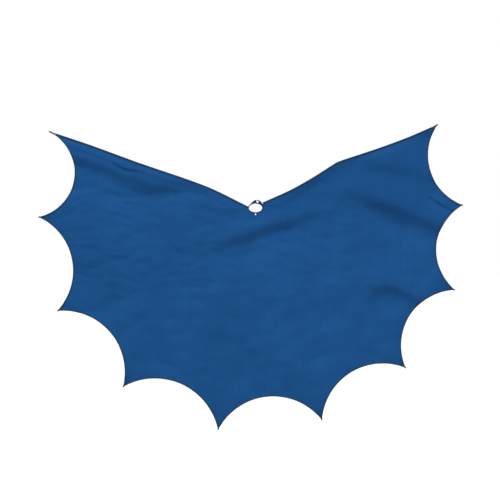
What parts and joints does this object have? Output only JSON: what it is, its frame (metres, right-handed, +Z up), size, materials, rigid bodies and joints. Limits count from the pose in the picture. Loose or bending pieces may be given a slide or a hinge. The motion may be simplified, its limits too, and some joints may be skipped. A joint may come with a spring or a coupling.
{
  "type": "scalloped figure cape",
  "caption": "One-piece blue cloth cape for a one-sixth scale figure, with a scalloped hem, wired top hems that pose the wings, and a round neck opening closed by a snap tab.",
  "frame": {"origin": "centre of the neck opening, in the middle of the cloth's thickness", "axes": "+X across the wings to the right as seen from outside, +Z up, and +Y the way the wearer faces, so the outside of the cape faces -Y"},
  "size_m": [0.635, 0.0061, 0.4586],
  "materials": {
    "cape_cloth": "matt fine-weave cloth, deep blue",
    "hem_cloth": "the same cloth turned over and stitched",
    "tab_cloth": "the same cloth, doubled, darker",
    "edge_thread": "close rolled-edge stitching in navy thread",
    "soft_wire": "drawn, bare",
    "wire_sleeve": "matt black sleeve",
    "snap_metal": "nickel plated"
  },
  "bodies": {
    "back": {"back_panel": "cape_cloth", "back_edging": "edge_thread", "left_hem_back": "hem_cloth", "left_wire_back": "soft_wire", "right_hem_back": "hem_cloth", "right_wire_back": "soft_wire", "neck_binding": "edge_thread", "underlap_tab": "tab_cloth", "tab_base": "tab_cloth", "snap_stud": "snap_metal", "snap_rivet": "snap_metal", "back_eyelet": "snap_metal"},
    "left_wing": {"left_wing_panel": "cape_cloth", "left_wing_edging": "edge_thread", "left_hem_wing": "hem_cloth", "left_wire_wing": "soft_wire"},
    "left_tip": {"left_tip_panel": "cape_cloth", "left_tip_edging": "edge_thread", "left_hem_tip": "hem_cloth", "left_wire_tip": "soft_wire", "left_wire_cap": "wire_sleeve"},
    "right_wing": {"right_wing_panel": "cape_cloth", "right_wing_edging": "edge_thread", "right_hem_wing": "hem_cloth", "right_wire_wing": "soft_wire"},
    "right_tip": {"right_tip_panel": "cape_cloth", "right_tip_edging": "edge_thread", "right_hem_tip": "hem_cloth", "right_wire_tip": "soft_wire", "right_wire_cap": "wire_sleeve"},
    "neck_tab": {"closure_tab": "tab_cloth", "snap_cap": "snap_metal", "snap_socket": "snap_metal"}
  },
  "joints": [
    {"name": "left_wing_fold", "type": "hinge", "parent": "back", "child": "left_wing", "pos_m": [-0.045, 0, 0], "axis": [0, 0, -1], "range_deg": [-60, 75]},
    {"name": "left_tip_fold", "type": "hinge", "parent": "left_wing", "child": "left_tip", "pos_m": [-0.15, 0, 0], "axis": [0, 0, -1], "range_deg": [-35, 35]},
    {"name": "right_wing_fold", "type": "hinge", "parent": "back", "child": "right_wing", "pos_m": [0.045, 0, 0], "axis": [0, 0, 1], "range_deg": [-60, 75]},
    {"name": "right_tip_fold", "type": "hinge", "parent": "right_wing", "child": "right_tip", "pos_m": [0.15, 0, 0], "axis": [0, 0, 1], "range_deg": [-35, 35]},
    {"name": "neck_tab_open", "type": "hinge", "parent": "back", "child": "neck_tab", "pos_m": [-0.0085, -0.003, 0], "axis": [0, 0, -1], "range_deg": [0, 110]}
  ]
}
